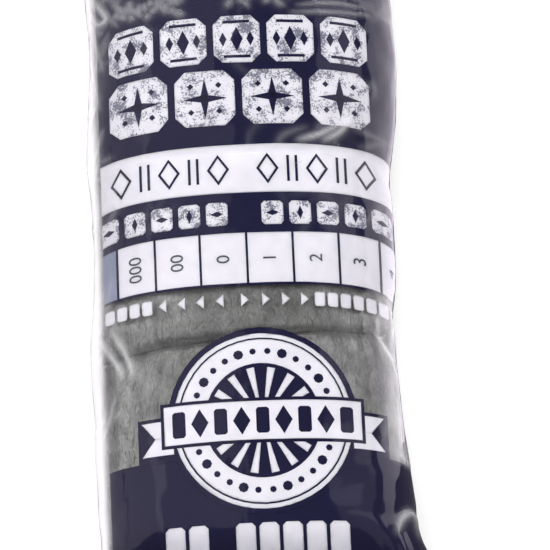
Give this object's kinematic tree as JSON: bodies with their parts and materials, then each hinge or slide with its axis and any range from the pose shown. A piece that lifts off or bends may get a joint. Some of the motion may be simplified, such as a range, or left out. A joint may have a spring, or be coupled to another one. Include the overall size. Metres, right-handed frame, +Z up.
{
  "type": "steel wool pad pack",
  "caption": "Long pillow-shaped film bag with a printed front and a clear window, sealed flat at both ends, filled with flat rolls of steel wool in rows and layers.",
  "frame": {"origin": "on the surface that the pack lies on, under the middle of the bag", "axes": "+X across the printed front to its right, +Y along the bag towards its top end, +Z up out of the printed front"},
  "size_m": [0.142, 0.35, 0.0736],
  "materials": {
    "film": "clear gloss film, printed navy and white on the front",
    "wool": "fine matted steel fibres, satin"
  },
  "bodies": {
    "root": {"film_bag": "film", "pad_row1_layer1": "wool", "pad_row1_layer2": "wool", "pad_row1_layer3": "wool", "pad_row1_layer4": "wool", "pad_row2_layer1": "wool", "pad_row2_layer2": "wool", "pad_row2_layer3": "wool", "pad_row2_layer4": "wool", "pad_row3_layer1": "wool", "pad_row3_layer2": "wool", "pad_row3_layer3": "wool", "pad_row3_layer4": "wool", "pad_row4_layer1": "wool", "pad_row4_layer2": "wool", "pad_row4_layer3": "wool", "pad_row4_layer4": "wool"}
  },
  "joints": []
}
